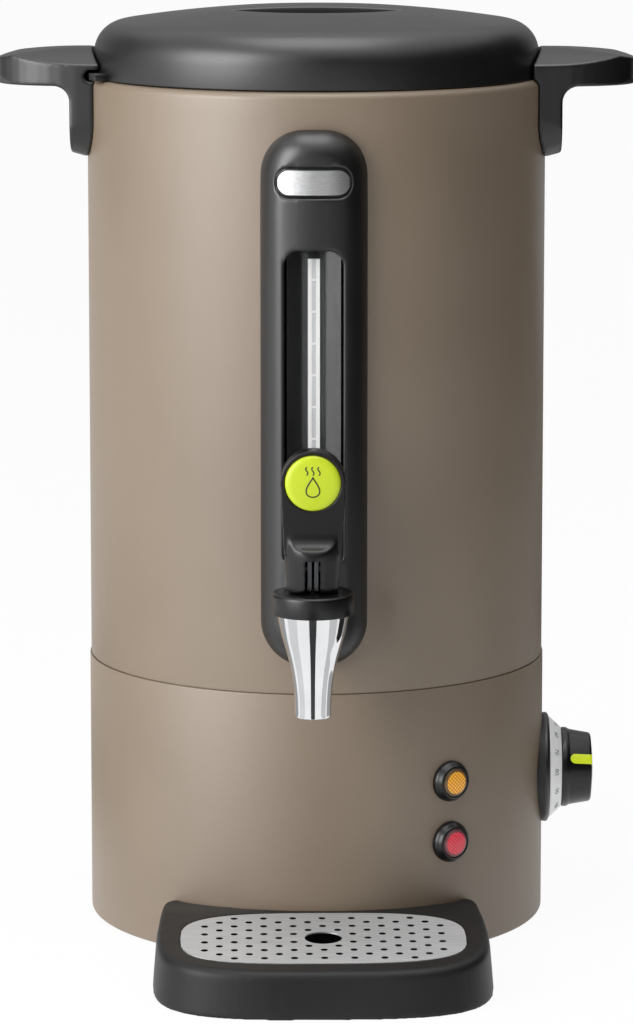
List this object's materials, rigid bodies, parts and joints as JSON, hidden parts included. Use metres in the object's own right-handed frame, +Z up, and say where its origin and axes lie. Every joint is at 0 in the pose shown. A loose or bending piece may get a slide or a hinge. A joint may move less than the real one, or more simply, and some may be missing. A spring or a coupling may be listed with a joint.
{
  "type": "hot water urn",
  "caption": "Tall round urn on an electric base, with a twist-lock lid, side handles, a gauge column, a lever tap with a round button, a thermostat dial, lamps and a loose drip tray.",
  "frame": {"origin": "on the body's axis, at the surface that the urn stands on", "axes": "+Z up, -Y the front where the tap is, +X the dial's side"},
  "size_m": [0.3546, 0.3779, 0.5135],
  "materials": {
    "taupe_paint": "fine matt powder coat",
    "stainless": "brushed",
    "black_plastic": "fine matt",
    "chrome": "polished",
    "silver_trim": "satin",
    "black_rubber": "matt",
    "sight_glass": "clear",
    "white_plastic": "smooth",
    "silicone": "satin",
    "lime_plastic": "gloss",
    "amber_lens": "clear, moulded with fine facets",
    "red_lens": "clear, moulded with fine facets",
    "brass": "plain",
    "zinc_steel": "zinc plated",
    "grey_aluminium": "cast",
    "white_ceramic": "unglazed",
    "red_plastic": "gloss"
  },
  "bodies": {
    "urn": {"outer_shell": "taupe_paint", "tank": "stainless", "base_shell": "taupe_paint", "base_plate": "black_plastic", "foot_front_left": "black_rubber", "foot_front_right": "black_rubber", "foot_rear_left": "black_rubber", "foot_rear_right": "black_rubber", "foot_screws": "zinc_steel", "base_screws": "zinc_steel", "handle_left": "black_plastic", "handle_right": "black_plastic", "handle_screws": "zinc_steel", "tower_cover": "black_plastic", "tower_screws": "zinc_steel", "badge_plate": "silver_trim", "sight_tube": "sight_glass", "gauge_stripe": "white_plastic", "gauge_plug": "black_plastic", "gauge_tee": "stainless", "tap_body": "chrome", "bonnet": "black_plastic", "shank_nut": "stainless", "shank_gasket": "silicone", "amber_bezel": "black_plastic", "amber_lens": "amber_lens", "red_bezel": "black_plastic", "red_lens": "red_lens", "lamp_nuts": "white_plastic", "dial_flange": "black_plastic", "scale_ring": "silver_trim", "thermostat": "white_ceramic", "thermostat_nut": "zinc_steel", "thermostat_bulb": "brass", "heater_plate": "grey_aluminium", "heating_element": "stainless", "element_nuts": "brass", "boil_dry_cutout": "black_plastic", "terminal_block": "white_ceramic", "cable_gland": "black_plastic"},
    "seal": {"lid_seal": "silicone"},
    "lid": {"lid_shell": "black_plastic", "lid_liner": "stainless", "lid_screws": "zinc_steel"},
    "stem": {"valve_stem": "stainless", "seat_cup": "silicone", "valve_spring": "stainless"},
    "lever": {"lever": "black_plastic", "lever_button": "lime_plastic", "lever_pin": "stainless"},
    "dial": {"knob": "black_plastic", "knob_pointer": "lime_plastic", "thermostat_spindle": "zinc_steel"},
    "tray": {"drip_tray": "black_plastic"},
    "grille": {"drip_grille": "stainless"},
    "reset": {"reset_button": "red_plastic"}
  },
  "joints": [
    {"name": "lid_lift", "type": "slide", "parent": "urn", "child": "seal", "axis": [0, 0, 1], "range_m": [0, 0.15]},
    {"name": "lid_turn", "type": "hinge", "parent": "seal", "child": "lid", "pos_m": [0, 0, 0.474], "axis": [0, 0, 1], "range_deg": [-21, 0]},
    {"name": "lever_tilt", "type": "hinge", "parent": "stem", "child": "lever", "pos_m": [0, -0.17, 0.2267], "axis": [1, 0, 0], "range_deg": [0, 41]},
    {"name": "stem_lift", "type": "slide", "parent": "urn", "child": "stem", "axis": [0, 0, 1], "range_m": [0, 0.0042], "stiffness_N_per_m": 1500, "springref_m": -0.003, "deforming": ["valve_spring"]},
    {"name": "dial_turn", "type": "hinge", "parent": "urn", "child": "dial", "pos_m": [0.139, 0, 0.0811], "axis": [1, 0, 0], "range_deg": [-210, 60]},
    {"name": "tray_slide", "type": "slide", "parent": "urn", "child": "tray", "axis": [0.0314, -0.9995, 0], "range_m": [0, 0.15]},
    {"name": "grille_lift", "type": "slide", "parent": "tray", "child": "grille", "axis": [0, 0, 1], "range_m": [0, 0.05]},
    {"name": "reset_push", "type": "slide", "parent": "urn", "child": "reset", "axis": [0, 0, 1], "range_m": [0, 0.0025], "stiffness_N_per_m": 300, "springref_m": -0.001}
  ],
  "couplings": [
    {"joint": "lever_tilt", "follows": "stem_lift", "rad_per_m": 166.67}
  ]
}
